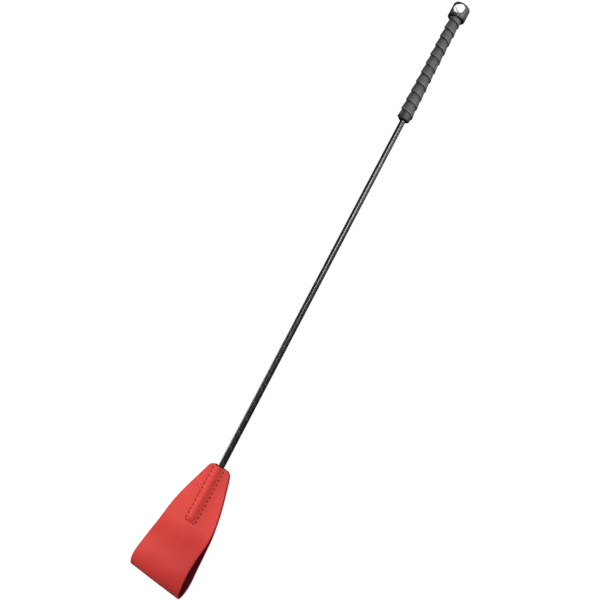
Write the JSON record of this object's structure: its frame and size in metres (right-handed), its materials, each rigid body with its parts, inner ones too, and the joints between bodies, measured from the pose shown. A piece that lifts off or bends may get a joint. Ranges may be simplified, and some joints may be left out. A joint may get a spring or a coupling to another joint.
{
  "type": "riding crop",
  "caption": "Slim riding crop with a capped, spirally wrapped handle, a braided flexible shaft and a wide flap of folded, stitched leather.",
  "frame": {"origin": "centre of the flat face of the butt end, on the shaft axis", "axes": "+X along the shaft from the butt end to the flap, +Z out of the flap's front, the side the stud faces, +Y across the flap"},
  "size_m": [0.7, 0.064, 0.0337],
  "materials": {
    "cap_plastic": "satin moulded plastic",
    "stud_chrome": "polished",
    "core_wood": "bare turned wood",
    "grip_leather": "matte black leather tape",
    "collar_rubber": "matte",
    "rod_fibreglass": "drawn fibreglass",
    "braid_thread": "glossy lacquered braid",
    "tip_metal": "plain",
    "flap_leather": "smooth red finished leather",
    "stitch_thread": "waxed thread"
  },
  "bodies": {
    "handle": {"head_cap": "cap_plastic", "head_stud": "stud_chrome", "handle_core": "core_wood", "grip_wrap": "grip_leather", "grip_collar": "collar_rubber", "rod_1": "rod_fibreglass", "braid_1": "braid_thread"},
    "shaft_2": {"rod_2": "rod_fibreglass", "braid_2": "braid_thread"},
    "shaft_3": {"rod_3": "rod_fibreglass", "braid_3": "braid_thread"},
    "shaft_4": {"rod_4": "rod_fibreglass", "braid_4": "braid_thread"},
    "shaft_tip": {"rod_5": "rod_fibreglass", "braid_5": "braid_thread", "rod_tip_cap": "tip_metal", "flap_pocket": "flap_leather", "flap_stitching": "stitch_thread"},
    "flap": {"flap_loop": "flap_leather"}
  },
  "joints": [
    {"name": "shaft_flex", "type": "hinge", "parent": "handle", "child": "shaft_2", "pos_m": [0.2, 0, 0], "axis": [0, 1, 0], "range_deg": [-9, 9], "stiffness_Nm_per_rad": 2},
    {"name": "shaft_flex_2", "type": "hinge", "parent": "shaft_2", "child": "shaft_3", "pos_m": [0.307, 0, 0], "axis": [0, 1, 0], "range_deg": [-9, 9]},
    {"name": "shaft_flex_3", "type": "hinge", "parent": "shaft_3", "child": "shaft_4", "pos_m": [0.414, 0, 0], "axis": [0, 1, 0], "range_deg": [-9, 9]},
    {"name": "shaft_flex_4", "type": "hinge", "parent": "shaft_4", "child": "shaft_tip", "pos_m": [0.521, 0, 0], "axis": [0, 1, 0], "range_deg": [-9, 9]},
    {"name": "flap_bend", "type": "hinge", "parent": "shaft_tip", "child": "flap", "pos_m": [0.633, 0, 0], "axis": [0, 1, 0], "range_deg": [-60, 60], "stiffness_Nm_per_rad": 0.02}
  ],
  "couplings": [
    {"joint": "shaft_flex_2", "follows": "shaft_flex", "ratio": 1},
    {"joint": "shaft_flex_3", "follows": "shaft_flex", "ratio": 1},
    {"joint": "shaft_flex_4", "follows": "shaft_flex", "ratio": 1}
  ]
}
